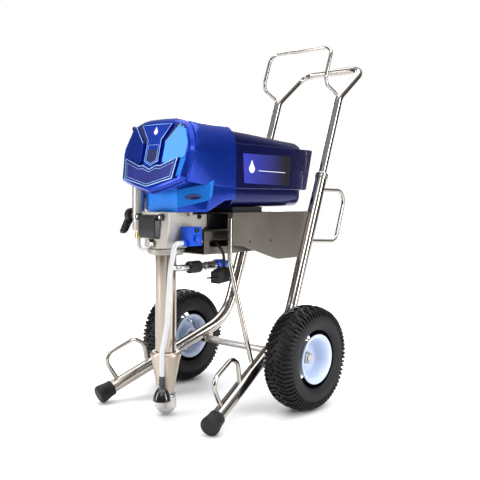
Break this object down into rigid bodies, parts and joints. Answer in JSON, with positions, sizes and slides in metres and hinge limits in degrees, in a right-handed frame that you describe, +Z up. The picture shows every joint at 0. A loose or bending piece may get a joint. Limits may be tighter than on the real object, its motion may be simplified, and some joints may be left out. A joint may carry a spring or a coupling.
{
  "type": "airless paint sprayer",
  "caption": "Airless paint sprayer on a wheeled stainless cart: upright piston pump with strainer foot, geared electric motor under blue covers, telescopic handle, hose rack and hook.",
  "frame": {"origin": "middle of the machine's box at ground level, cord left out", "axes": "+Z up, -Y towards the front cap and the feet, +X the machine's left side with the hose rack"},
  "size_m": [0.5178, 0.7598, 0.9487],
  "materials": {
    "frame_stainless": "polished stainless tube",
    "handle_stainless": "polished stainless tube",
    "deck_steel": "brushed stainless sheet",
    "boot_rubber": "matt moulded rubber",
    "axle_aluminium": "drawn bar",
    "tyre_rubber": "block tread",
    "rim_paint": "gloss white enamel",
    "bush_plastic": "moulded",
    "zinc_steel": "bright zinc",
    "housing_aluminium": "cast and blasted",
    "gear_steel": "machined steel",
    "guard_plastic": "moulded",
    "latch_aluminium": "polished casting",
    "pump_chrome": "polished tube",
    "intake_nickel": "nickel-plated casting",
    "strainer_steel": "woven mesh over a frame",
    "valve_brass": "turned brass",
    "clear_tube": "translucent hose",
    "valve_blue": "anodised or moulded blue",
    "bell_rubber": "moulded",
    "shroud_blue": "metallic blue gloss",
    "cap_blue": "metallic blue gloss",
    "cover_navy": "deep navy gloss",
    "motor_aluminium": "cast",
    "rotor_copper": "laminations and copper",
    "fan_plastic": "moulded",
    "box_plastic": "moulded",
    "lead_rubber": "rubber sheath",
    "plug_plastic": "moulded"
  },
  "bodies": {
    "machine": {"side_frame_left": "frame_stainless", "side_frame_right": "frame_stainless", "handle_collar_left": "frame_stainless", "handle_collar_right": "frame_stainless", "foot_cap_left": "boot_rubber", "foot_cap_right": "boot_rubber", "axle": "axle_aluminium", "deck": "deck_steel", "mount_bracket": "deck_steel", "brace_rod_left": "frame_stainless", "brace_rod_right": "frame_stainless", "hose_rack": "frame_stainless", "axle_nut_left": "zinc_steel", "axle_nut_right": "zinc_steel", "drive_housing": "housing_aluminium", "rod_shield": "guard_plastic", "pump_latch": "latch_aluminium", "clamp_ring": "housing_aluminium", "pump_cylinder": "pump_chrome", "intake_housing": "intake_nickel", "inlet_strainer": "strainer_steel", "filter_manifold": "housing_aluminium", "filter_housing": "housing_aluminium", "prime_valve": "valve_brass", "brass_fitting": "valve_brass", "link_tube": "clear_tube", "valve_block": "valve_blue", "drain_tube": "clear_tube", "drain_bell": "bell_rubber", "outlet_elbow": "housing_aluminium", "outlet_spigot": "housing_aluminium", "outlet_cap": "valve_blue", "shroud": "shroud_blue", "front_cap": "cap_blue", "motor_cover": "cover_navy", "motor_pad": "boot_rubber", "motor_stator": "motor_aluminium", "control_box": "box_plastic", "lead_gland": "lead_rubber", "lead_run": "lead_rubber", "lead_coil": "lead_rubber", "lead_tail": "lead_rubber", "mains_plug": "plug_plastic"},
    "handle": {"handle_bar": "handle_stainless", "hose_hook": "handle_stainless"},
    "wheel_left": {"tyre_left": "tyre_rubber", "wheel_rim_left": "rim_paint", "wheel_bush_left": "bush_plastic"},
    "wheel_right": {"tyre_right": "tyre_rubber", "wheel_rim_right": "rim_paint", "wheel_bush_right": "bush_plastic"},
    "crank": {"crank_gear": "gear_steel"},
    "rotor": {"motor_rotor": "rotor_copper", "cooling_fan": "fan_plastic"},
    "displacement_rod": {"pump_rod": "gear_steel"},
    "connecting_rod": {"connecting_rod": "gear_steel"},
    "prime_lever": {"prime_lever": "guard_plastic"},
    "pressure_knob": {"pressure_knob": "guard_plastic"},
    "power_switch": {"power_switch": "zinc_steel"},
    "outlet_nut": {"outlet_nut": "guard_plastic"}
  },
  "joints": [
    {"name": "handle_slide", "type": "slide", "parent": "machine", "child": "handle", "axis": [0, -0.3404, -0.9403], "range_m": [0, 0.205]},
    {"name": "wheel_left_spin", "type": "hinge", "parent": "machine", "child": "wheel_left", "pos_m": [0.217, -0.04694, 0.13], "axis": [1, 0, 0], "continuous": true},
    {"name": "wheel_right_spin", "type": "hinge", "parent": "machine", "child": "wheel_right", "pos_m": [-0.217, -0.04694, 0.13], "axis": [1, 0, 0], "continuous": true},
    {"name": "crank_turn", "type": "hinge", "parent": "machine", "child": "crank", "pos_m": [0, -0.24994, 0.545], "axis": [0, 1, 0], "continuous": true},
    {"name": "motor_turn", "type": "hinge", "parent": "machine", "child": "rotor", "pos_m": [0, -0.09694, 0.599], "axis": [0, 1, 0], "continuous": true},
    {"name": "pump_stroke", "type": "slide", "parent": "machine", "child": "displacement_rod", "axis": [0, 0, -1], "range_m": [0, 0.05]},
    {"name": "connecting_rod_swing", "type": "hinge", "parent": "displacement_rod", "child": "connecting_rod", "pos_m": [0, -0.31694, 0.48], "axis": [0, 1, 0], "range_deg": [-16, 16]},
    {"name": "prime_lever_turn", "type": "hinge", "parent": "machine", "child": "prime_lever", "pos_m": [-0.098, -0.33494, 0.479], "axis": [1, 0, 0], "range_deg": [-90, 0]},
    {"name": "pressure_knob_turn", "type": "hinge", "parent": "machine", "child": "pressure_knob", "pos_m": [-0.1123, -0.30894, 0.622], "axis": [1, 0, 0], "range_deg": [0, 270]},
    {"name": "power_switch_tilt", "type": "hinge", "parent": "machine", "child": "power_switch", "pos_m": [-0.1158, -0.25194, 0.622], "axis": [0, 1, 0], "range_deg": [-12, 12]},
    {"name": "outlet_nut_turn", "type": "hinge", "parent": "machine", "child": "outlet_nut", "pos_m": [0.045, -0.26794, 0.358], "axis": [0, 1, 0], "continuous": true}
  ],
  "couplings": [
    {"joint": "motor_turn", "follows": "crank_turn", "ratio": -4}
  ]
}
